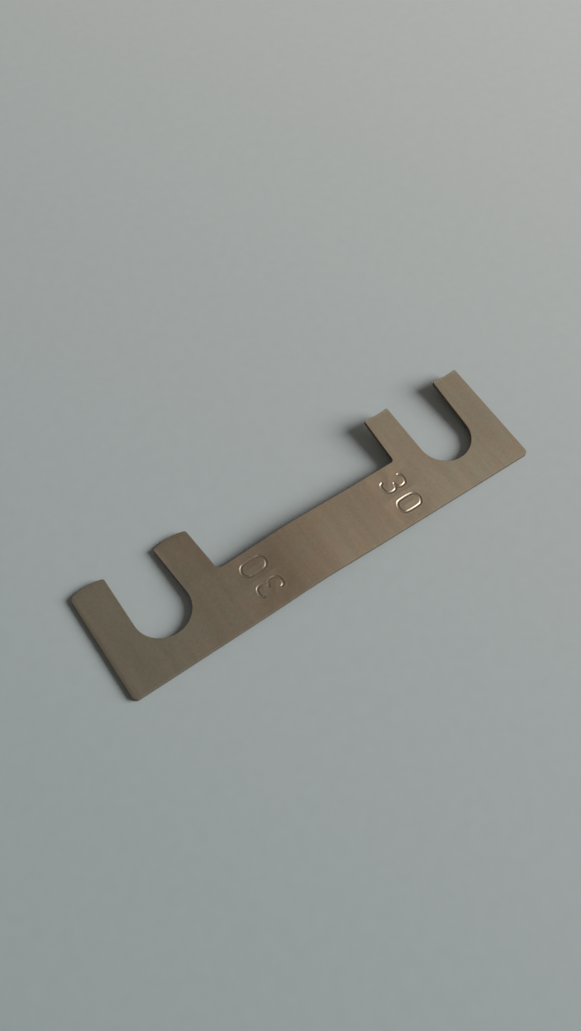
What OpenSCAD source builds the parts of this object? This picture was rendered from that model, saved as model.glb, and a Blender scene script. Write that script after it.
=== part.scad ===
// Strip fuse: one piece of thin zinc strip with an open slot at each end for a screw.
// X runs along the strip from the left fork to the right one, Y across it to the prong tips, Z up.
// The fork plates are flat, and the link between them is bent and twisted a little from handling.

/* [Strip] */
// Overall length of the flat strip
strip_len = 41.8; // [38:0.1:48]
// Width of the strip from its long edge to the prong tips
strip_w = 10.9; // [10:0.1:13]
// Thickness of the sheet
sheet_t = 0.45; // [0.2:0.05:0.8]

/* [Forks] */
// Width of the left fork, outer edge to inner edge
left_fork_w = 11.8; // [10.5:0.1:13]
// Width of the right fork, inner edge to outer edge
right_fork_w = 11.1; // [10.5:0.1:13]
// Left end to the left slot's centre line
left_slot_x = 5.9; // [5:0.1:6.5]
// Distance between the two slots' centre lines
slot_pitch = 30.3; // [29.5:0.1:31]
// Width of a slot, for an M5 screw
slot_w = 5.2; // [4.2:0.1:6]
// Depth of a slot from the prong tips
slot_depth = 7.9; // [6:0.1:9]

/* [Link] */
// Width of the link between the forks
link_w = 6.0; // [4:0.1:8]

/* [Edges] */
// Radius of the left end's lower corner
left_corner_r = 0.7; // [0.2:0.1:1.5]
// Radius of the right end's lower corner
right_corner_r = 0.3; // [0.1:0.1:1.5]
// Radius of the left end's upper corner
tip_r = 0.4; // [0.1:0.1:0.6]
// How far the left prongs' tips bow outward in their middle
left_tip_bow = 0.2; // [0:0.05:0.4]
// Radius of the inside corner where the link meets the left fork
left_notch_r = 0.5; // [0.1:0.1:1]
// Radius of the inside corner where the link meets the right fork
right_notch_r = 0.3; // [0.1:0.1:1]

/* [Bends from handling] */
// How far the left fork's inner prong leans outward at its tip
left_prong_lean = 0.3; // [0:0.05:0.5]
// How far the right slot flares at its mouth
right_slot_flare = 0.3; // [0:0.05:0.5]
// How far the right fork's inner prong narrows toward its tip
right_prong_inset = 0.25; // [0:0.05:0.4]
// Slope of the link against the left fork, in degrees, at even steps from the left fork to the right one
link_slope = [0, 2.4, -5.7, -3.6, -3.2];
// Twist of the right fork against the left one, which lifts its prong tips, in degrees
right_twist = 4.4; // [0:0.1:8]

/* [Hidden] */
$fn = 96;
slot_r = slot_w / 2;
right_fork_x = strip_len - right_fork_w;
right_slot_x = left_slot_x + slot_pitch;
link_len = right_fork_x - left_fork_w;
steps = 8 * (len(link_slope) - 1);
tip_steps = 8;
joint_len = 0.5;
cut_over = 0.2;

// Bend and twist at a distance u along the flat strip, in degrees
function clamp01(x) = max(0, min(1, x));
function link_share(u) = clamp01((u - left_fork_w) / link_len);
function slope_between(i, t) = link_slope[i] * (1 - t) + link_slope[i + 1] * t;
function slope_of(s) = let (n = len(link_slope) - 1, i = min(n - 1, floor(s * n))) slope_between(i, s * n - i);
function slope(u) = slope_of(link_share(u));
function twist(u) = right_twist * link_share(u);

// The underside's lower edge, as points along the link, summed from short straight steps
function station(i) = left_fork_w + link_len * i / steps;
function step_dir(u) = [cos(slope(u)), 0, sin(slope(u))];
function walk(i) = i == 0
    ? left_fork_w * step_dir(0)
    : walk(i - 1) + link_len / steps * step_dir((station(i - 1) + station(i)) / 2);
link_path = [for (i = [0:steps]) walk(i)];

// Rest attitude: the strip arches, so it stands on its left edge and its right lower corner
right_end = link_path[steps] + right_fork_w * step_dir(strip_len);
rest_pitch = atan2(right_end.z, right_end.x);

// Axes of the sheet at u: along, across and out of its upper face
function lean(p, a) = [p.x * cos(a) - p.z * sin(a), p.y, p.x * sin(a) + p.z * cos(a)];
function roll(p, a) = [p.x, p.y * cos(a) - p.z * sin(a), p.y * sin(a) + p.z * cos(a)];
function turned(p, u) = lean(roll(p, twist(u)), slope(u));
function section(i) = [
    for (c = [[0, 0, 0], [0, link_w, 0], [0, link_w, sheet_t], [0, 0, sheet_t]])
        link_path[i] + turned(c, station(i))
];
function flat_end(i, reach) = [
    for (c = [[reach, 0, 0], [reach, link_w, 0], [reach, link_w, sheet_t], [reach, 0, sheet_t]])
        link_path[i] + turned(c, station(i))
];

// Overall box of the part at rest, from its outermost points, to centre it on the origin
left_tip_corner = lean([0, strip_w + left_tip_bow, 0], -rest_pitch);
left_low_corner = lean([0, 0, sheet_t], -rest_pitch);
right_tip_corner = lean(link_path[steps] + turned([right_fork_w, strip_w, 0], strip_len), -rest_pitch);
right_low_corner = lean(right_end, -rest_pitch);
box_x = [min(left_low_corner.x, left_tip_corner.x), max(right_low_corner.x, right_tip_corner.x)];
box_y = [0, max(left_tip_corner.y, right_tip_corner.y)];

module corner_cut(r) {
    difference() {
        translate([-cut_over, -cut_over])
            square(r + cut_over);
        translate([r, r])
            circle(r);
    }
}

// What is cut from a fork for its slot, with the mouth's two sides given apart
module slot_cut(x, mouth_left, mouth_right) {
    bottom = strip_w - slot_depth + slot_r;
    translate([x, bottom])
        circle(slot_r);
    polygon([
        [x - slot_r, bottom],
        [x + slot_r, bottom],
        [x + mouth_right, strip_w],
        [x + mouth_right, strip_w + cut_over],
        [x + mouth_left, strip_w + cut_over],
        [x + mouth_left, strip_w],
    ]);
}

// Points along a left prong's tip from one side to the other, bowed out in the middle
function tip_bow_at(s) = left_tip_bow * 4 * s * (1 - s);
function tip_points(x0, x1) = [
    for (i = [0:tip_steps])
        let (s = i / tip_steps)
            [x0 * (1 - s) + x1 * s, strip_w + tip_bow_at(s)]
];

module left_fork_outline() {
    difference() {
        polygon(concat(
            [[0, 0], [left_fork_w, 0], [left_fork_w, link_w]],
            tip_points(left_fork_w - left_prong_lean, left_slot_x + slot_r - left_prong_lean),
            tip_points(left_slot_x - slot_r, tip_r),
            [[0, strip_w]]
        ));
        corner_cut(left_corner_r);
        translate([0, strip_w])
            mirror([0, 1])
                corner_cut(tip_r);
        slot_cut(left_slot_x, -slot_r, slot_r - left_prong_lean);
    }
}

module right_fork_outline() {
    slot_at = right_slot_x - right_fork_x;
    difference() {
        polygon([
            [0, 0],
            [right_fork_w, 0],
            [right_fork_w, strip_w],
            [right_prong_inset, strip_w],
            [0, link_w],
        ]);
        translate([right_fork_w, 0])
            mirror([1, 0])
                corner_cut(right_corner_r);
        slot_cut(slot_at, -slot_r, slot_r + right_slot_flare);
    }
}

// A quarter round left in the inside corner between the link and a fork
module notch_fillet(r) {
    difference() {
        translate([-cut_over, -cut_over])
            square(r + cut_over);
        translate([r, r])
            circle(r);
    }
}

module plate() {
    linear_extrude(sheet_t)
        children();
}

module left_fork() {
    plate() {
        left_fork_outline();
        translate([left_fork_w, link_w])
            notch_fillet(left_notch_r);
    }
}

module right_fork() {
    translate(link_path[steps])
        rotate([0, -slope(strip_len), 0])
            rotate([twist(strip_len), 0, 0])
                plate() {
                    right_fork_outline();
                    translate([0, link_w])
                        mirror([1, 0])
                            notch_fillet(right_notch_r);
                }
}

// The bent and twisted stretch, with a short flat end let into each fork
module link() {
    rings = concat([flat_end(0, -joint_len)], [for (i = [0:steps]) section(i)], [flat_end(steps, joint_len)]);
    last = len(rings) - 1;
    sides = [
        for (i = [0:last - 1])
            for (k = [0:3])
                let (a = 4 * i + k, b = 4 * i + (k + 1) % 4)
                    each [[a, a + 4, b + 4], [a, b + 4, b]]
    ];
    caps = [[0, 1, 2, 3], [for (k = [3:-1:0]) 4 * last + k]];
    polyhedron([for (r = rings) each r], concat(sides, caps));
}

module fuse_strip() {
    color([0.48, 0.43, 0.36])
        translate([-(box_x[0] + box_x[1]) / 2, -(box_y[0] + box_y[1]) / 2, 0])
            rotate([0, rest_pitch, 0]) {
                left_fork();
                link();
                right_fork();
            }
}

fuse_strip();
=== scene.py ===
# %% [markdown]
# # A strip fuse: one stamped strip of bare zinc
# A strip fuse is a thin strip of zinc with a fork at each end and a narrow link between them. This lesson
# makes one in three steps: a flat blank in mesh code, as the press would cut it, then a bend and a twist
# in Geometry Nodes, as handling left it, and then its two finishes, the rolled face and the sheared edge.

# %% Load the fixed frame
import math
import bpy
import numpy as np
from mathutils import Matrix, Vector
from mathutils.geometry import delaunay_2d_cdt


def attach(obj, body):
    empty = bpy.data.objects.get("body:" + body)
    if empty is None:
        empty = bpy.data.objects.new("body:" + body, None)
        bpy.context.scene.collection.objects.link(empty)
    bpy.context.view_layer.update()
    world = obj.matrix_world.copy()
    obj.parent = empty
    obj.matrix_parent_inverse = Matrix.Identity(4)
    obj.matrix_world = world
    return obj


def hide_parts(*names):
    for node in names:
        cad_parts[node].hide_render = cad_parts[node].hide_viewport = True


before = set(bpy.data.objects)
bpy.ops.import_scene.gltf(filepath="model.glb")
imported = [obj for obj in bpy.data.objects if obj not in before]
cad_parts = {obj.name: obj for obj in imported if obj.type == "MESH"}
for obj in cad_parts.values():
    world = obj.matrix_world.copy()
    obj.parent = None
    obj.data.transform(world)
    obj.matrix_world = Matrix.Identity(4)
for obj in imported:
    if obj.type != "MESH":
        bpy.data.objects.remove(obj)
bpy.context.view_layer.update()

# %% [markdown]
# ## The sizes of the blank
# The press cuts the fuse flat, so all sizes are first given flat, in millimetres: `u` runs along the
# strip from its left end, and `v` across it from its long straight edge to the tips of the prongs.
# Keeping the flat sizes apart from the bends makes both easy to change.

# %% Sizes of the flat blank, in millimetres
strip_length = 41.8
strip_width = 10.9
sheet = 0.45
left_fork = 11.8
right_fork = 11.1
left_slot = 5.9
right_slot = 36.2
slot_radius = 2.6
slot_depth = 7.9
link_width = 6.0
# How far the left inner prong leans outward, the right slot flares and the right inner prong narrows
left_lean = 0.3
right_flare = 0.3
right_inset = 0.25
# How far the middle of a tip bows outward at the left fork, and inward at the right one
left_bow = 0.3
right_bow = -0.1
slot_pitch = round(right_slot - left_slot, 2)
print("blank", strip_length, "x", strip_width, "x", sheet, "mm, slots", slot_pitch, "mm apart")

# %% [markdown]
# ## The outline
# The outline is a closed loop of points. Its corners are listed with the radius that wear and the die
# gave each one, and a small helper rounds them. A slot's half round is a run of points on its own circle.
# A prong's tip is a shallow bow, because the shear pushed the left tips outward a little and the right
# ones inward.

# %% Corners of the outline, each with its radius
# The left fork's tips have some radii of their own, and every tip corner that isn't named has the small one
lower_left_round = 0.45
lower_right_round = 0.35
outer_left_round = 0.5
outer_mouth_round = 0.3
inner_left_round = 0.32
small_round = 0.16
left_notch_round = 0.5
right_notch_round = 0.3


def slot_round(centre, count=28):
    """Points on the half round at the bottom of a slot."""
    middle = strip_width - slot_depth + slot_radius
    angles = [-math.pi * i / count for i in range(count + 1)]
    return [(centre + slot_radius * math.cos(a), middle + slot_radius * math.sin(a), 0) for a in angles]


def prong_tip(start, end, bow, start_round, end_round):
    """A prong's tip from one corner to the other, bowed in between."""
    shares = (0.2, 0.35, 0.5, 0.65, 0.8)
    between = [(start + (end - start) * s, strip_width + bow * 4 * s * (1 - s), 0) for s in shares]
    return [(start, strip_width, start_round)] + between + [(end, strip_width, end_round)]


right_start = strip_length - right_fork
left_mouth = (left_slot - slot_radius, left_slot + slot_radius - left_lean)
right_mouth = (right_slot - slot_radius, right_slot + slot_radius + right_flare)
corners = [(0, 0, lower_left_round), (strip_length, 0, lower_right_round)]
corners += prong_tip(strip_length, right_mouth[1], right_bow, small_round, small_round)
corners += slot_round(right_slot)
corners += prong_tip(right_mouth[0], right_start + right_inset, right_bow, small_round, small_round)
corners += [(right_start, link_width, right_notch_round), (left_fork, link_width, left_notch_round)]
corners += prong_tip(left_fork - left_lean, left_mouth[1], left_bow, inner_left_round, small_round)
corners += slot_round(left_slot)
corners += prong_tip(left_mouth[0], 0, left_bow, outer_mouth_round, outer_left_round)
print(len(corners), "corner points")

# %% Round the corners and share long edges into short ones
turn_per_step = 0.2
longest_edge = 0.25


def rounded(before, corner, after, radius):
    """Points on the arc that replaces a corner."""
    spot = Vector(corner[:2])
    to_before = (Vector(before[:2]) - spot).normalized()
    to_after = (Vector(after[:2]) - spot).normalized()
    half = to_before.angle(to_after) / 2
    reach = radius / math.tan(half)
    middle = spot + (to_before + to_after).normalized() * radius / math.sin(half)
    first = spot + to_before * reach - middle
    sweep = first.angle_signed(spot + to_after * reach - middle)
    count = max(4, round(abs(sweep) / turn_per_step))
    turns = [Matrix.Rotation(-sweep * i / count, 2) for i in range(count + 1)]
    return [tuple(middle + turn @ first) for turn in turns]


def shared(points, longest):
    """The same loop, with no edge longer than the longest."""
    result = []
    for start, end in zip(points, points[1:] + points[:1]):
        count = max(1, math.ceil(math.dist(start, end) / longest))
        result += [tuple(np.add(start, np.subtract(end, start) * i / count)) for i in range(count)]
    return result


outline = []
for i, corner in enumerate(corners):
    if corner[2]:
        outline += rounded(corners[i - 1], corner, corners[(i + 1) % len(corners)], corner[2])
    else:
        outline.append(corner[:2])
outline = np.array(shared(outline, longest_edge))
closed_outline = np.vstack([outline, outline[:1]])
print(len(outline), "points round the outline")

# %% [markdown]
# ## The stamped numerals
# The rating, a plain 30, is struck into the face near each fork with a blunt die, so each stroke is a
# shallow round groove. The strokes are lines in a small plan of the numerals, 1 across by 1 up. The right
# pair reads across the strip towards its long edge, and the left pair is the same stamp turned half
# round.

# %% Plan of the numerals' strokes
def smooth_line(points, closed, per_step=10):
    """Smooth curve through the points, as short straight steps."""
    points = [Vector(p) for p in points]
    count = len(points)

    def point_at(i):
        return points[i % count] if closed else points[min(max(i, 0), count - 1)]

    line = []
    for i in range(count if closed else count - 1):
        near = [point_at(i + k) for k in (-1, 0, 1, 2)]
        for step in range(per_step):
            t = step / per_step
            ends = near[1] * (2 * t**3 - 3 * t**2 + 1) + near[2] * (3 * t**2 - 2 * t**3)
            leads = (near[2] - near[0]) * (t**3 - 2 * t**2 + t) + (near[3] - near[1]) * (t**3 - t**2)
            line.append(ends + leads * 0.5)
    line.append(line[0] if closed else points[-1])
    return np.array([tuple(p) for p in line])


nought_right = [(0.5, 0), (0.9, 0.1), (1, 0.3), (1, 0.7), (0.9, 0.9)]
nought_left = [(0.5, 1), (0.1, 0.9), (0, 0.7), (0, 0.3), (0.1, 0.1)]
low_bow = [(0, 0.12), (0.1, 0.03), (0.45, 0), (0.85, 0.07), (1, 0.25), (0.92, 0.44), (0.5, 0.53)]
top_bow = [(0.5, 0.53), (0.88, 0.6), (0.97, 0.77), (0.85, 0.94), (0.45, 1), (0.12, 0.97), (0.03, 0.9)]
nought = [smooth_line(nought_right + nought_left, closed=True)]
three = [smooth_line(low_bow, closed=False), smooth_line(top_bow, closed=False)]


def struck(strokes, across, up):
    """Strokes of one numeral on the blank: v runs between the ends of across, and u between those of up."""
    return [
        np.column_stack([up[0] + (up[1] - up[0]) * s[:, 1], across[0] + (across[1] - across[0]) * s[:, 0]])
        for s in strokes
    ]


right_pair = struck(three, (4.72, 3.55), (28.14, 30.42)) + struck(nought, (2.52, 1.22), (28.2, 30.46))
left_pair = struck(three, (1.5, 2.64), (15.68, 13.4)) + struck(nought, (3.74, 5.04), (15.6, 13.24))
print(len(right_pair) + len(left_pair), "strokes")

# %% [markdown]
# ## Points for the two faces
# The top face is filled with triangles between the outline and loose points inside it. The points are
# coarse where the zinc is flat and close together round the numerals, at the tips and along the left end,
# because only there does the surface curve. A Delaunay fill joins both kinds without any seam.

# %% Helpers that measure on the blank
def distance_to(points, line):
    """Distance of each point from a line of short straight steps."""
    nearest = np.full(len(points), np.inf)
    for start, end in zip(line[:-1], line[1:]):
        step = end - start
        share = np.clip((points - start) @ step / max(step @ step, 1e-12), 0, 1)
        nearest = np.minimum(nearest, np.linalg.norm(points - start - share[:, None] * step, axis=1))
    return nearest


def inside(points, loop):
    """True for each point that lies within the closed loop."""
    odd = np.zeros(len(points), bool)
    for (x0, y0), (x1, y1) in zip(loop, np.roll(loop, -1, axis=0)):
        crosses = (y0 > points[:, 1]) != (y1 > points[:, 1])
        odd ^= crosses & (points[:, 0] < x0 + (points[:, 1] - y0) * (x1 - x0) / (y1 - y0 + 1e-12))
    return odd


def field(u_range, v_range, gap):
    """Even grid of points."""
    u, v = np.meshgrid(np.arange(*u_range, gap), np.arange(*v_range, gap))
    return np.column_stack([u.ravel(), v.ravel()])


def in_areas(points, areas):
    """True for each point within one of the areas."""
    u, v = points.T
    return np.any([(u > a) & (u < b) & (v > c) & (v < d) for a, b, c, d in areas], axis=0)


print("helpers ready")

# %% Loose points inside the outline
# Each area is given as where u starts and ends, and then v
numeral_areas = [(27.85, 30.8, 0.9, 5.05), (12.95, 15.95, 1.2, 5.35)]
edge_areas = [(0, 12, 10.1, 11.2), (30, 42, 10.1, 11.2), (0, 0.6, 0.1, 10.1)]
clear_of_edge = 0.2
coarse = field((clear_of_edge, strip_length), (clear_of_edge, strip_width), gap=0.3)
coarse = coarse[~in_areas(coarse, numeral_areas + edge_areas)]
coarse = coarse[inside(coarse, outline)]
fine = np.vstack([field((a, b), (c, d), gap=0.033) for a, b, c, d in numeral_areas])
close = np.vstack([field((a, b), (c, d), gap=0.1) for a, b, c, d in edge_areas])
loose = np.vstack([coarse, fine, close[inside(close, outline)]])
loose = loose[distance_to(loose, closed_outline) > clear_of_edge]
under = coarse[distance_to(coarse, closed_outline) > clear_of_edge]
print(len(loose), "points on the top face,", len(under), "on the underside")

# %% [markdown]
# ## The relief of the top face
# One function gives how far the top face lies below or above the flat sheet at any point. It holds the
# grooves of the numerals, each with a faint lip and a soft wide dent round it, the left tips and the left
# end, which the shear rolled down, and the right tips, turned up by a hair at their edge. The left stamp
# came down unevenly: it struck hard at the top and the foot of its numerals and at the point of its
# three, and only lightly between.

# %% Relief of the top face, in millimetres
groove_half = 0.135
groove_wall = 0.09
full_depth = 0.048
light_depth = 0.01
lip_at = 0.18
lip_half = 0.05
lip_share = 0.08
dent_depth = 0.035
dent_half = 0.8
pressed_fade = 0.06
# Where along the strip the left numerals have their middle, and where the point of the left three is
left_middle = 14.45
left_point = (14.47, 2.07)
light_half = 0.45
hard_fade = 0.5
point_spread = 0.06
light_polish_and_highlight = 0.25
tip_roll = 0.025
tip_roll_reach = 0.6
end_roll = 0.06
end_roll_reach = 0.4
upturn = 0.02
upturn_reach = 0.3


def ramp(value, reach, most=1):
    """Grows evenly from 0 at nought to 1 at the reach, and stops at the most."""
    return np.clip(value / reach, 0, most)


def groove(points, strokes, depth):
    """Height that the strokes give each point, and how hard the die pressed it, from 0 to 1."""
    near = np.min([distance_to(points, stroke) for stroke in strokes], axis=0)
    lip = np.exp(-(((near - lip_at) / lip_half) ** 2))
    dent = dent_depth * np.exp(-((near / dent_half) ** 2))
    lift = depth * (lip_share * lip - ramp(groove_half - near, groove_wall)) - dent
    return lift, ramp(lip_at - near, pressed_fade)


def relief(points):
    """Height of each point over the flat sheet, and how hard the die pressed it."""
    u, v = points.T
    right_lift, right_pressed = groove(points, right_pair, full_depth)
    ends = ramp(np.abs(u - left_middle) - light_half, hard_fade)
    point = np.exp(-((u - left_point[0]) ** 2 + (v - left_point[1]) ** 2) / point_spread)
    struck_hard = np.clip(ends + point, 0, 1)
    left_depth = light_depth + (full_depth - light_depth) * struck_hard
    left_lift, left_pressed = groove(points, left_pair, left_depth)
    # how much of the die's press shows on the left pair; it sets their smoother finish and their lighter
    # colour, part burnish and part painted highlight
    left_polish_and_highlight = light_polish_and_highlight + (1 - light_polish_and_highlight) * struck_hard
    pressed = np.maximum(right_pressed, left_pressed * left_polish_and_highlight)
    tip_line = strip_width + left_bow * 0.7
    rolled_tip = ramp(v - (tip_line - tip_roll_reach), tip_roll_reach, most=1.3) ** 2
    rolled_end = ramp(end_roll_reach - u, end_roll_reach) ** 2
    upturned = ramp(v - (strip_width - upturn_reach), upturn_reach) ** 2
    height = right_lift + left_lift - end_roll * rolled_end
    height -= np.where(u < left_fork, tip_roll * rolled_tip, 0)
    height += np.where(u > right_start - 1, upturn * upturned, 0)
    return height, pressed


test_height = relief(loose)[0]
print("relief from", round(test_height.min(), 3), "to", round(test_height.max(), 3), "mm")

# %% [markdown]
# ## The rim
# A sheared edge isn't square. The punch rolls the top of the edge over, polishes the wall below, and
# leaves a sharper line underneath. The rim is made of loops: each is the outline moved inward a little,
# at its own height, and the walls between the loops are quads.

# %% Loops of the rim, from the underside to the top
roll_over = 0.025
roll_steps = 4
under_bevel = 0.015
under_margin = 0.06
top_margin = 0.05


def inward(loop):
    """Unit direction into the metal at each outline point."""
    before = np.roll(loop, 1, axis=0)
    after = np.roll(loop, -1, axis=0)
    along = (loop - before) / np.linalg.norm(loop - before, axis=1)[:, None]
    along += (after - loop) / np.linalg.norm(after - loop, axis=1)[:, None]
    along /= np.linalg.norm(along, axis=1)[:, None]
    return np.column_stack([-along[:, 1], along[:, 0]])


# Each loop's inset into the metal and its height
profile = [(under_margin, 0), (under_bevel, 0), (0, under_bevel), (0, sheet - roll_over)]
for i in range(1, roll_steps + 1):
    turn = math.pi / 2 * i / roll_steps
    profile.append((roll_over * (1 - math.cos(turn)), sheet - roll_over * (1 - math.sin(turn))))
profile.append((roll_over + top_margin, sheet))
into_metal = inward(outline)
loops = [(outline + into_metal * inset, height) for inset, height in profile]
print(len(loops), "loops in the rim")

# %% Join the rim and the two faces into one closed shell
def filled(loop, points):
    """Triangles of the Delaunay fill between a loop and the loose points inside it."""
    spots = [Vector(p) for p in np.vstack([loop, points])]
    edges = [(i, (i + 1) % len(loop)) for i in range(len(loop))]
    result = delaunay_2d_cdt(spots, edges, [], 1, 1e-7)
    back = [origin[0] if origin else 0 for origin in result[3]]
    return [tuple(back[i] for i in face) for face in result[2]]


count = len(outline)
last_wall = len(loops) - 2
faces = []
sheared = []
for k in range(last_wall + 1):
    for i in range(count):
        j = (i + 1) % count
        faces.append((k * count + i, k * count + j, (k + 1) * count + j, (k + 1) * count + i))
        sheared.append(0 < k < last_wall)
top_first = (len(loops) - 1) * count
under_first = len(loops) * count + len(loose)
top_faces = filled(loops[-1][0], loose)
under_faces = filled(loops[0][0], under)
faces += [tuple(top_first + i for i in face) for face in top_faces]
faces += [tuple(i if i < count else under_first + i - count for i in reversed(face)) for face in under_faces]
sheared += [False] * (len(top_faces) + len(under_faces))
vertices = [np.column_stack([loop, np.full(count, height)]) for loop, height in loops]
vertices.append(np.column_stack([loose, np.full(len(loose), sheet)]))
vertices.append(np.column_stack([under, np.zeros(len(under))]))
vertices = np.vstack(vertices)
print("shell has", len(vertices), "points and", len(faces), "faces")

# %% [markdown]
# ## From the shell to the blank
# The relief moves the top face, and a part of each hollow shows through as a faint bulge underneath. The
# left inner prong also droops evenly toward its tip. Two values go with each point for the finishes: how
# hard the die pressed it, and how near the rim it lies. A third value marks the sheared faces.

# %% Relief, droop and the values that the finishes read
shows_through = 0.3
droop_from = 7
droop_blend = 1.5
droop_per_mm = 0.05
rim_reach = 0.16
height, pressed = relief(vertices[:, :2])
on_top = vertices[:, 2] / sheet
vertices[:, 2] += height * on_top
vertices[under_first:, 2] += shows_through * np.minimum(height[under_first:], 0)
on_inner_prong = ramp(vertices[:, 0] - droop_from, droop_blend) * (vertices[:, 0] < left_fork + 0.01)
vertices[:, 2] -= droop_per_mm * on_inner_prong * np.clip(vertices[:, 1] - link_width, 0, None)
rim_near = np.exp(-distance_to(vertices[:, :2], closed_outline) / rim_reach)
blank = bpy.data.meshes.new("blank")
blank.from_pydata((vertices / 1000).tolist(), [], faces)
blank.attributes.new("pressed", "FLOAT", "POINT").data.foreach_set("value", pressed * on_top)
blank.attributes.new("rim", "FLOAT", "POINT").data.foreach_set("value", rim_near)
blank.attributes.new("sheared", "BOOLEAN", "FACE").data.foreach_set("value", sheared)
print("blank has", len(blank.vertices), "points and", len(blank.polygons), "faces")

# %% [markdown]
# ## Small helpers for node trees
# The node trees below are long sums. These helpers place a node and join its inputs in one line each, so
# the rule stays readable.

# %% Helpers for node trees
FLOAT = "NodeSocketFloat"
VECTOR = "NodeSocketVector"


def place(tree, kind, inputs=(), **settings):
    """New node with its settings, and with each input joined or set."""
    node = tree.nodes.new(kind)
    for name, value in settings.items():
        setattr(node, name, value)
    for key, value in dict(inputs).items():
        if isinstance(value, bpy.types.NodeSocket):
            tree.links.new(value, node.inputs[key])
        else:
            node.inputs[key].default_value = value
    return node


def calc(tree, operation, *values, clamp=False):
    """Output of a Math node."""
    node = place(tree, "ShaderNodeMath", dict(enumerate(values)), operation=operation, use_clamp=clamp)
    return node.outputs[0]


def new_tree(name, kind, inputs, outputs):
    """New node tree, what it is given, and its output node."""
    tree = bpy.data.node_groups.new(name, kind)
    for label, socket in inputs:
        tree.interface.new_socket(label, in_out="INPUT", socket_type=socket)
    for label, socket in outputs:
        tree.interface.new_socket(label, in_out="OUTPUT", socket_type=socket)
    return tree, tree.nodes.new("NodeGroupInput").outputs, tree.nodes.new("NodeGroupOutput")


print("node helpers ready")

# %% [markdown]
# ## The bend, span by span
# The link isn't straight: handling bent it a little up and then down. The rule says that the slope of the
# sheet changes evenly along each of four equal spans. Adding up a slope that changes evenly gives a
# square, and the length lost to the bend gives a cube, so one small node group works out a span, and it
# is used four times. The mean of the squared slope is its mean squared, plus a twelfth of its turn squared.

# %% Node group for one span
span_inputs = [(name, FLOAT) for name in ("Along", "Start", "Length", "Slope In", "Slope Out")]
span_outputs = [(name, FLOAT) for name in ("Turn", "Rise", "Lost")]
span, given, result = new_tree("one span of the bend", "GeometryNodeTree", span_inputs, span_outputs)
past = calc(span, "SUBTRACT", given["Along"], given["Start"])
share = calc(span, "DIVIDE", past, given["Length"], clamp=True)
change = calc(span, "SUBTRACT", given["Slope Out"], given["Slope In"])
turn = calc(span, "MULTIPLY", change, share)
mean = calc(span, "MULTIPLY_ADD", turn, 0.5, given["Slope In"])
covered = calc(span, "MULTIPLY", given["Length"], share)
rise = calc(span, "MULTIPLY", covered, mean)
turn_part = calc(span, "DIVIDE", calc(span, "MULTIPLY", turn, turn), 12.0)
square = calc(span, "MULTIPLY_ADD", mean, mean, turn_part)
lost = calc(span, "MULTIPLY", calc(span, "MULTIPLY", covered, square), 0.5)
for name, value in (("Turn", turn), ("Rise", rise), ("Lost", lost)):
    span.links.new(value, result.inputs[name])
print("span group has", len(span.nodes), "nodes")

# %% [markdown]
# ## The whole bend and twist
# The main tree adds the four spans, turns each point of the sheet by the twist and the slope at its
# place, and moves it onto the bent line. It then tips the whole strip so that it rests on the table, and
# gives the rolled face and the sheared edge their finishes.

# %% Geometry Nodes tree that bends the blank
SPANS = 4
slopes = ["Slope " + str(i + 1) for i in range(SPANS + 1)]
numbers = ["Link Start", "Link Length"] + slopes + ["Twist", "Rest Pitch"]
bend_inputs = [("Geometry", "NodeSocketGeometry")] + [(name, FLOAT) for name in numbers] + [("Shift", VECTOR)]
bend_inputs += [(name, "NodeSocketMaterial") for name in ("Face Finish", "Edge Finish")]
bend_outputs = [("Geometry", "NodeSocketGeometry")]
bend, given, result = new_tree("bend and twist the blank", "GeometryNodeTree", bend_inputs, bend_outputs)
position = place(bend, "GeometryNodeInputPosition").outputs[0]
flat = place(bend, "ShaderNodeSeparateXYZ", {0: position}).outputs
span_length = calc(bend, "DIVIDE", given["Link Length"], float(SPANS))
slope = given[slopes[0]]
climb = 0.0
loss = 0.0
for i in range(SPANS):
    start = calc(bend, "MULTIPLY_ADD", span_length, float(i), given["Link Start"])
    inputs = {"Along": flat[0], "Start": start, "Length": span_length}
    inputs.update({"Slope In": given[slopes[i]], "Slope Out": given[slopes[i + 1]]})
    one = place(bend, "GeometryNodeGroup", node_tree=span)
    for name, value in inputs.items():
        bend.links.new(value, one.inputs[name])
    slope = calc(bend, "ADD", slope, one.outputs["Turn"])
    climb = calc(bend, "ADD", climb, one.outputs["Rise"])
    loss = calc(bend, "ADD", loss, one.outputs["Lost"])
link_end = calc(bend, "ADD", given["Link Start"], given["Link Length"])
on_fork = calc(bend, "MAXIMUM", calc(bend, "SUBTRACT", flat[0], link_end), 0.0)
climb = calc(bend, "MULTIPLY_ADD", on_fork, calc(bend, "SINE", given[slopes[-1]]), climb)
fork_loss = calc(bend, "SUBTRACT", 1.0, calc(bend, "COSINE", given[slopes[-1]]))
loss = calc(bend, "MULTIPLY_ADD", on_fork, fork_loss, loss)
past_start = calc(bend, "SUBTRACT", flat[0], given["Link Start"])
link_share = calc(bend, "DIVIDE", past_start, given["Link Length"], clamp=True)
twist = calc(bend, "MULTIPLY", given["Twist"], link_share)
print("bend rule laid out in", len(bend.nodes), "nodes")

# %% Move the points and give the finishes
def turned(vector, axis, angle):
    node = place(bend, "ShaderNodeVectorRotate", {"Vector": vector, "Angle": angle}, rotation_type=axis)
    return node.outputs[0]


def added(a, b):
    return place(bend, "ShaderNodeVectorMath", {0: a, 1: b}, operation="ADD").outputs[0]


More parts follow.
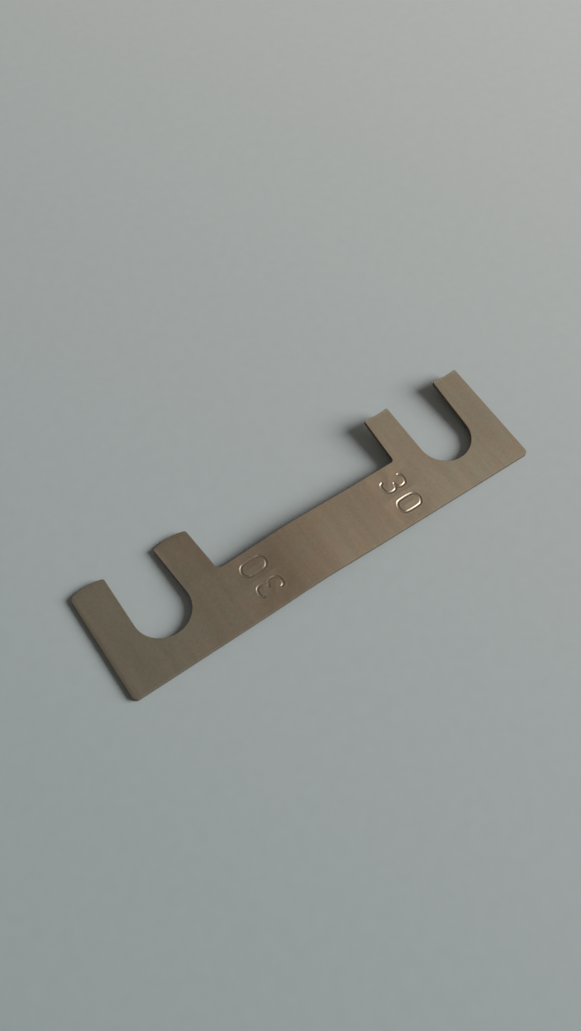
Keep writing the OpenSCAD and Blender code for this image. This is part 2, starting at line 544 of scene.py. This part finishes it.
across = place(bend, "ShaderNodeCombineXYZ", {1: flat[1], 2: flat[2]}).outputs[0]
across = turned(turned(across, "X_AXIS", twist), "Y_AXIS", calc(bend, "MULTIPLY", slope, -1.0))
line = place(bend, "ShaderNodeCombineXYZ", {0: calc(bend, "SUBTRACT", flat[0], loss), 2: climb}).outputs[0]
at_rest = added(turned(added(line, across), "Y_AXIS", given["Rest Pitch"]), given["Shift"])
moved = place(bend, "GeometryNodeSetPosition", {"Geometry": given["Geometry"], "Position": at_rest})
real = place(bend, "GeometryNodeRealizeInstances", {"Geometry": moved.outputs[0]})
face_inputs = {"Geometry": real.outputs[0], "Material": given["Face Finish"]}
face = place(bend, "GeometryNodeSetMaterial", face_inputs)
cut = place(bend, "GeometryNodeInputNamedAttribute", {"Name": "sheared"}, data_type="BOOLEAN")
edge_inputs = {"Geometry": face.outputs[0], "Material": given["Edge Finish"]}
edge_inputs["Selection"] = cut.outputs["Attribute"]
done = place(bend, "GeometryNodeSetMaterial", edge_inputs)
bend.links.new(done.outputs[0], result.inputs["Geometry"])
print("bend tree has", len(bend.nodes), "nodes")

# %% [markdown]
# ## Finishes of bare zinc
# Both finishes start from three shared groups: the fine grain and wider bands that the rolls left across
# the strip, the soft mottling of handled zinc, and the wear that brightens the rim. Each group reads
# places on the object, so the pattern stays put from every side. Places are in metres, so a number per
# millimetre is multiplied by a thousand.

# %% Shared node groups of the zinc
MM_PER_METRE = 1000.0


def streaks(tree, spot, lines_per_mm, lengthwise):
    """Noise drawn out across the strip, as fine as the number of lines per mm."""
    finer = calc(tree, "MULTIPLY", lines_per_mm, MM_PER_METRE)
    lines = place(tree, "ShaderNodeCombineXYZ", {0: finer, 1: lengthwise, 2: lengthwise}).outputs[0]
    drawn = place(tree, "ShaderNodeVectorMath", {0: spot, 1: lines}, operation="MULTIPLY").outputs[0]
    return place(tree, "ShaderNodeTexNoise", {"Vector": drawn, "Scale": 1.0, "Detail": 3.0}).outputs[0]


grain_inputs = [("Place", VECTOR), ("Lines per mm", FLOAT), ("Bands per mm", FLOAT)]
grain_outputs = [("Grain", FLOAT), ("Bands", FLOAT)]
grain, given, result = new_tree("transverse grain", "ShaderNodeTree", grain_inputs, grain_outputs)
grain.links.new(streaks(grain, given["Place"], given["Lines per mm"], 500.0), result.inputs["Grain"])
grain.links.new(streaks(grain, given["Place"], given["Bands per mm"], 130.0), result.inputs["Bands"])

mottle_inputs = [("Place", VECTOR), ("Spots per mm", FLOAT)]
mottle_outputs = [("Wide", FLOAT), ("Fine", FLOAT)]
mottle, given, result = new_tree("mottling", "ShaderNodeTree", mottle_inputs, mottle_outputs)
scale = calc(mottle, "MULTIPLY", given["Spots per mm"], MM_PER_METRE)
for name, times, detail in (("Wide", 1.0, 3.0), ("Fine", 7.0, 5.0)):
    inputs = {"Vector": given["Place"], "Scale": calc(mottle, "MULTIPLY", scale, times), "Detail": detail}
    inputs["Roughness"] = 0.6
    mottle.links.new(place(mottle, "ShaderNodeTexNoise", inputs).outputs[0], result.inputs[name])

wear_inputs = [("Place", VECTOR), ("Strength", FLOAT)]
wear, given, result = new_tree("edge wear", "ShaderNodeTree", wear_inputs, [("Wear", FLOAT)])
rim = place(wear, "ShaderNodeAttribute", attribute_name="rim").outputs["Fac"]
rub_inputs = {"Vector": given["Place"], "Scale": 1500.0, "Detail": 3.0}
rubbed = place(wear, "ShaderNodeTexNoise", rub_inputs).outputs[0]
worn_share = calc(wear, "MULTIPLY", calc(wear, "MULTIPLY", rim, rubbed), given["Strength"], clamp=True)
wear.links.new(worn_share, result.inputs["Wear"])
print("three shared groups:", grain.name, mottle.name, wear.name)

# %% [markdown]
# ## Two materials
# The rolled face is a satin metal. Its colour drifts along the strip, greyer at the left fork, warm along
# the link and a little greyer again at the right fork. Painted shade also darkens the right fork, to hold
# back the lamp's brighter sheen on its tilted face, and the prongs are a touch lighter.
# Mottling and grain vary it further, and the rim is rubbed brighter. The struck grooves are rubbed smoother,
# and their lighter colour is partly burnish and partly a painted highlight.
# The sheared edge is the same zinc, rougher, with finer lines. It is darker partly for its dull cut and
# partly as painted shade, which keeps its rolled rim from catching the lamp.

# %% Finish of the rolled face and of the sheared edge
NOISE_ENDS = (0.3, 0.7)
# lighter colour of the struck grooves: part burnish, part painted highlight
burnish_and_painted_highlight = (0.44, 0.39, 0.33)


def spread(tree, value, ends, results):
    """Map Range: what the value's two ends become, and evenly in between."""
    return place(tree, "ShaderNodeMapRange", dict(enumerate((value, *ends, *results)))).outputs[0]


def tinted(tree, colour, shade):
    return place(tree, "ShaderNodeVectorMath", {0: colour, 1: shade}, operation="MULTIPLY").outputs[0]


def mixed(tree, share, first, second):
    inputs = {"Factor": share, 6: first if hasattr(first, "node") else (*first, 1), 7: (*second, 1)}
    return place(tree, "ShaderNodeMix", inputs, data_type="RGBA").outputs[2]


def zinc(name, warm, grey, worn, lines_per_mm, rough):
    material = bpy.data.materials.new(name)
    material.use_nodes = True
    tree = material.node_tree
    shader = tree.nodes["Principled BSDF"]
    spot = place(tree, "ShaderNodeTexCoord").outputs["Object"]
    lined = place(tree, "ShaderNodeGroup", node_tree=grain)
    blotch = place(tree, "ShaderNodeGroup", node_tree=mottle)
    rubbed = place(tree, "ShaderNodeGroup", node_tree=wear)
    for node in (lined, blotch, rubbed):
        tree.links.new(spot, node.inputs["Place"])
    lined.inputs["Lines per mm"].default_value = lines_per_mm
    lined.inputs["Bands per mm"].default_value = 1.3
    blotch.inputs["Spots per mm"].default_value = 0.6
    rubbed.inputs["Strength"].default_value = 0.08
    along, aside, _ = place(tree, "ShaderNodeSeparateXYZ", {0: spot}).outputs
    greyer = [
        spread(tree, along, (-0.018, -0.004), (1.1, 0.35)),
        spread(tree, along, (0.007, 0.013), (0.0, 0.25)),
        spread(tree, blotch.outputs["Wide"], (0.35, 0.65), (-0.2, 0.2)),
    ]
    greyness = calc(tree, "ADD", calc(tree, "ADD", greyer[0], greyer[1]), greyer[2])
    shade = spread(tree, blotch.outputs["Fine"], NOISE_ENDS, (0.95, 1.05))
    for value, ends, results in (
        # painted shade: the face darkens by up to 9 percent over the right fork, holding back the lamp's
        # brighter sheen on its tilted face
        (along, (0.012, 0.017), (1.0, 0.91)),
        # the prongs are a touch lighter than the bodies
        (aside, (-0.001, 0.003), (0.98, 1.05)),
        (lined.outputs["Grain"], NOISE_ENDS, (0.98, 1.02)),
        (lined.outputs["Bands"], NOISE_ENDS, (0.95, 1.05)),
    ):
        shade = calc(tree, "MULTIPLY", shade, spread(tree, value, ends, results))
    body = tinted(tree, mixed(tree, greyness, warm, grey), shade)
    pressed = place(tree, "ShaderNodeAttribute", attribute_name="pressed").outputs["Fac"]
    colour = mixed(tree, rubbed.outputs["Wear"], body, worn)
    # the struck grooves turn lighter, partly burnish and partly a painted highlight for the glint of their
    # walls
    colour = mixed(tree, calc(tree, "MULTIPLY", pressed, 0.4), colour, burnish_and_painted_highlight)
    tree.links.new(colour, shader.inputs["Base Color"])
    smoother = calc(tree, "MULTIPLY_ADD", pressed, -0.15, rough)
    roughness = calc(tree, "MULTIPLY_ADD", blotch.outputs["Fine"], 0.08, smoother)
    tree.links.new(roughness, shader.inputs["Roughness"])
    shader.inputs["Metallic"].default_value = 1.0
    bump_inputs = {"Height": lined.outputs["Grain"], "Strength": 0.05, "Distance": 0.00002}
    bump = place(tree, "ShaderNodeBump", bump_inputs)
    tree.links.new(bump.outputs[0], shader.inputs["Normal"])
    return material


face_finish = zinc(
    "rolled_zinc_face",
    warm=(0.332, 0.248, 0.174),
    grey=(0.296, 0.270, 0.208),
    worn=(0.35, 0.30, 0.24),
    lines_per_mm=12.0,
    rough=0.56,
)
# the edge's colours are darker partly as painted shade, so that its rolled rim doesn't catch the lamp
edge_finish = zinc(
    "sheared_zinc_edge",
    warm=(0.225, 0.192, 0.145),
    grey=(0.207, 0.187, 0.145),
    worn=(0.235, 0.20, 0.16),
    lines_per_mm=25.0,
    rough=0.75,
)
print("finishes:", face_finish.name, edge_finish.name)

# %% [markdown]
# ## Bend the blank
# The slopes were measured in degrees against the left fork. The strip stands on its left edge and on the
# lower corner of its right end, so the rest pitch follows from the height of that corner, and nothing is
# placed by eye. The bend shortens the strip by a hair, and the shift brings the middle of the frame's box
# to the origin.

# %% Give the tree its values
link_slopes = [math.radians(a) for a in (0, 2.4, -5.7, -3.6, -3.2)]
twist_angle = math.radians(4.4)
length_lost = 0.06
to_middle = (-0.02089, -0.00555, 0)
link_length = strip_length - left_fork - right_fork
slope_sum = sum(link_slopes) - (link_slopes[0] + link_slopes[-1]) / 2
end_rise = link_length / SPANS * slope_sum + right_fork * math.sin(link_slopes[-1])
rest_pitch = math.atan2(end_rise, strip_length - length_lost)
values = dict(zip(slopes, link_slopes))
values.update({"Link Start": left_fork / 1000, "Link Length": link_length / 1000})
values.update({"Twist": twist_angle, "Rest Pitch": rest_pitch, "Shift": to_middle})
values.update({"Face Finish": face_finish, "Edge Finish": edge_finish})
carrier = bpy.data.objects.new("blank_to_bend", blank)
bpy.context.scene.collection.objects.link(carrier)
modifier = carrier.modifiers.new("bend", "NODES")
modifier.node_group = bend
for item in bend.interface.items_tree:
    if item.in_out == "INPUT" and item.name in values:
        modifier[item.identifier] = values[item.name]
print("rest pitch", round(math.degrees(rest_pitch), 3), "degrees")

# %% Turn the result into a plain mesh
sharp_from = math.radians(48)
evaluated = carrier.evaluated_get(bpy.context.evaluated_depsgraph_get())
strip_mesh = bpy.data.meshes.new_from_object(evaluated)
bpy.data.objects.remove(carrier)
strip_mesh.name = "zinc_strip"
strip = bpy.data.objects.new("zinc_strip", strip_mesh)
bpy.context.scene.collection.objects.link(strip)
strip_mesh.shade_smooth()
strip_mesh.set_sharp_from_angle(angle=sharp_from)
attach(strip, "root")
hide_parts("fuse_strip")
spots = np.array([tuple(v.co) for v in strip_mesh.vertices]) * 1000
print("strip from", spots.min(axis=0).round(3), "to", spots.max(axis=0).round(3), "mm")
print(len(strip_mesh.polygons), "faces")

# %% [markdown]
# ## The paper under it
# The fuse lies on a sheet of pale blue-grey paper. The sheet is one wide plane a hair below the fuse. Its
# colour is a little darker and bluer towards the viewer, a painted falloff of the light that drifts with
# the place on the plane, so it needs no picture.

# %% Floor
half_paper = 0.5
paper_below = 2e-5
# painted shade near the viewer and painted light further away
near_painted_shade = (0.272, 0.324, 0.335)
far_painted_light = (0.427, 0.448, 0.446)
sides = ((-1, -1), (1, -1), (1, 1), (-1, 1))
paper_corners = [(x * half_paper, y * half_paper, -paper_below) for x, y in sides]
floor_mesh = bpy.data.meshes.new("paper")
floor_mesh.from_pydata(paper_corners, [], [(0, 1, 2, 3)])
floor = bpy.data.objects.new("paper", floor_mesh)
bpy.context.scene.collection.objects.link(floor)
paper = bpy.data.materials.new("pale_paper")
paper.use_nodes = True
tree = paper.node_tree
spot = place(tree, "ShaderNodeTexCoord").outputs["Object"]
away, aside = [
    place(tree, "ShaderNodeVectorMath", {0: spot, 1: way}, operation="DOT_PRODUCT").outputs["Value"]
    for way in ((0.56, 0.83, 0), (0.83, -0.56, 0))
]
# painted light falloff: the paper's colour goes from the darker, bluer near side to the lighter far side
painted_falloff = spread(tree, calc(tree, "MULTIPLY_ADD", aside, 0.7, away), (-0.065, 0.1), (0.0, 1.0))
fibre = place(tree, "ShaderNodeTexNoise", {"Vector": spot, "Scale": 900.0, "Detail": 4.0}).outputs[0]
fleck = spread(tree, fibre, NOISE_ENDS, (0.985, 1.015))
shader = tree.nodes["Principled BSDF"]
tree.links.new(tinted(tree, mixed(tree, painted_falloff, near_painted_shade, far_painted_light), fleck), shader.inputs["Base Color"])
shader.inputs["Roughness"].default_value = 0.9
shader.inputs["Specular IOR Level"].default_value = 0.2
floor_mesh.materials.append(paper)
print("floor with", len(tree.nodes), "nodes in its material")

# %% [markdown]
# ## Light
# The shadows lie to the left of each edge and their rims are soft, so the main light is a large round
# lamp to the right, about 30 degrees above the table. It is far off, so its light falls evenly. A pale
# warm sky from all round fills the shadows a little.

# %% Lamp and sky
lamp_distance = 2.0
to_lamp = Vector((0.7042, -0.5116, 0.4924)).normalized()
lamp_data = bpy.data.lights.new("window_lamp", "AREA")
lamp_data.shape = "DISK"
lamp_data.size = 1.28
lamp_data.energy = 68.5
lamp_data.color = (1.0, 0.99, 0.97)
lamp = bpy.data.objects.new("window_lamp", lamp_data)
lamp.location = to_lamp * lamp_distance
lamp.rotation_euler = to_lamp.to_track_quat("Z", "Y").to_euler()
bpy.context.scene.collection.objects.link(lamp)
sky = bpy.data.worlds.new("pale_sky")
bpy.context.scene.world = sky
sky.use_nodes = True
background = sky.node_tree.nodes["Background"]
background.inputs["Color"].default_value = (1.0, 0.90, 0.81, 1)
background.inputs["Strength"].default_value = 0.2
print("lamp", lamp_data.energy, "W at", [round(c, 3) for c in lamp.location])

# %% [markdown]
# ## Camera
# The view comes from a fit of the strip's corners: the camera hangs above the near left, looks down at
# about 61 degrees, and is turned so that the strip runs up to the right. The clip start is short, because
# the camera is less than 9 cm from the middle of the strip.

# %% Camera
camera_data = bpy.data.cameras.new("camera")
camera_data.sensor_width = 36
camera_data.lens = 33.48
camera_data.clip_start = 0.005
camera = bpy.data.objects.new("camera", camera_data)
eye = Vector((-0.0244656, -0.0329582, 0.0746836))
back = Vector((-0.27687, -0.40349, 0.87209)).normalized()
top = Vector((0.49639, 0.71703, 0.48935))
right = top.cross(back).normalized()
top = back.cross(right)
camera.matrix_world = Matrix.Translation(eye) @ Matrix((right, top, back)).transposed().to_4x4()
bpy.context.scene.collection.objects.link(camera)
bpy.context.scene.camera = camera
bpy.context.scene.view_settings.view_transform = "Standard"
print("camera", round(eye.length * 1000, 1), "mm from the middle of the strip")
